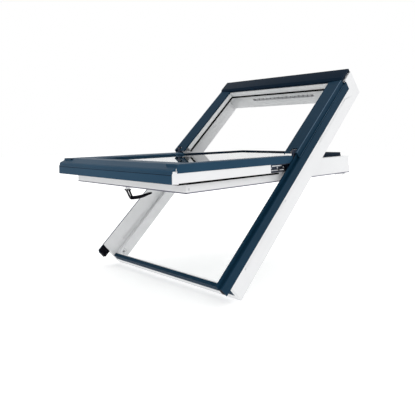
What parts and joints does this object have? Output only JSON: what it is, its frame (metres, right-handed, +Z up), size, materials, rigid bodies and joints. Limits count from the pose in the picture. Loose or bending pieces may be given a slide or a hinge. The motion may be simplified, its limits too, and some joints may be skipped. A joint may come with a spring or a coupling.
{
  "type": "roof skylight",
  "caption": "Centre-pivot roof window with an insulated glazed sash swung open about its middle, in a pitched frame with folded metal covers.",
  "frame": {"origin": "middle of the bare outer end face of the frame's sill", "axes": "+X across the window to the right as seen from the sill outside, +Y level and into the roof, towards the head, +Z up; the frame slopes up along +Y at 43 degrees"},
  "size_m": [0.78, 1.1745, 0.9116],
  "materials": {
    "pvc": "satin white, smooth",
    "cover": "satin powder coat, slate blue",
    "dark_cover": "satin powder coat, dark slate blue",
    "steel": "satin",
    "zinc": "zinc plated",
    "glass": "clear float glass",
    "spacer": "anodised, dark",
    "rubber": "matt black",
    "grey_rubber": "matt grey",
    "black_plastic": "fine grain",
    "grey_plastic": "fine grain"
  },
  "bodies": {
    "frame": {"jamb_left": "pvc", "jamb_right": "pvc", "sill_profile": "pvc", "head_profile": "pvc", "jamb_steels": "zinc", "jamb_end_plugs": "pvc", "lower_stop_left": "pvc", "lower_stop_right": "pvc", "upper_stop_left": "pvc", "upper_stop_right": "pvc", "upper_seal": "rubber", "side_cover_left": "cover", "side_cover_right": "cover", "side_cover_end_caps": "black_plastic", "upper_cover_left": "cover", "upper_cover_right": "cover", "head_cover": "dark_cover", "head_cover_end_caps": "dark_cover", "sill_cover": "cover", "vent_housing": "pvc", "vent_grille": "grey_plastic", "frame_hinge_left": "steel", "frame_hinge_right": "steel", "frame_hinge_screws": "zinc", "lock_keepers": "zinc"},
    "sash": {"sash_stile_left": "pvc", "sash_stile_right": "pvc", "sash_bottom_rail": "pvc", "sash_top_rail": "pvc", "sash_list_left": "pvc", "sash_list_right": "pvc", "sash_apron_list": "pvc", "sash_seal": "rubber", "flange_seal": "grey_rubber", "outer_pane": "glass", "inner_pane": "glass", "pane_spacer": "spacer", "setting_blocks": "rubber", "bottom_rail_cover": "cover", "bottom_cover_end_caps": "pvc", "sash_cover_left": "cover", "sash_cover_right": "cover", "cover_corner_clips": "pvc", "glazing_cover_left": "dark_cover", "glazing_cover_right": "dark_cover", "top_rail_cover": "dark_cover", "sash_hinge_left": "steel", "sash_hinge_right": "steel", "sash_hinge_screws": "zinc", "handle_base": "black_plastic", "handle_screws": "zinc", "bolt_housing": "pvc"},
    "handle": {"handle_lever": "black_plastic"},
    "lock_rod_left": {"lock_rod_left": "zinc"},
    "lock_rod_right": {"lock_rod_right": "zinc"},
    "cleaning_bolt": {"cleaning_bolt": "zinc"},
    "vent_shutter": {"vent_shutter": "pvc"}
  },
  "joints": [
    {"name": "sash_pivot", "type": "hinge", "parent": "frame", "child": "sash", "pos_m": [0, 0.37258, 0.51835], "axis": [-1, 0, 0], "range_deg": [-41.8, 118.2]},
    {"name": "handle_turn", "type": "hinge", "parent": "sash", "child": "handle", "pos_m": [0, -0.20938, 0.39064], "axis": [0, -0.0209, 0.9998], "range_deg": [0, 90]},
    {"name": "lock_slide_right", "type": "slide", "parent": "sash", "child": "lock_rod_right", "axis": [1, 0, 0], "range_m": [0, 0.0095]},
    {"name": "lock_slide_left", "type": "slide", "parent": "sash", "child": "lock_rod_left", "axis": [-1, 0, 0], "range_m": [0, 0.0095]},
    {"name": "cleaning_bolt_slide", "type": "slide", "parent": "sash", "child": "cleaning_bolt", "axis": [1, 0, 0], "range_m": [0, 0.0295]},
    {"name": "vent_slide", "type": "slide", "parent": "frame", "child": "vent_shutter", "axis": [1, 0, 0], "range_m": [0, 0.013]}
  ],
  "couplings": [
    {"joint": "lock_slide_right", "follows": "handle_turn", "m_per_rad": 0.006},
    {"joint": "lock_slide_left", "follows": "handle_turn", "m_per_rad": 0.006}
  ]
}
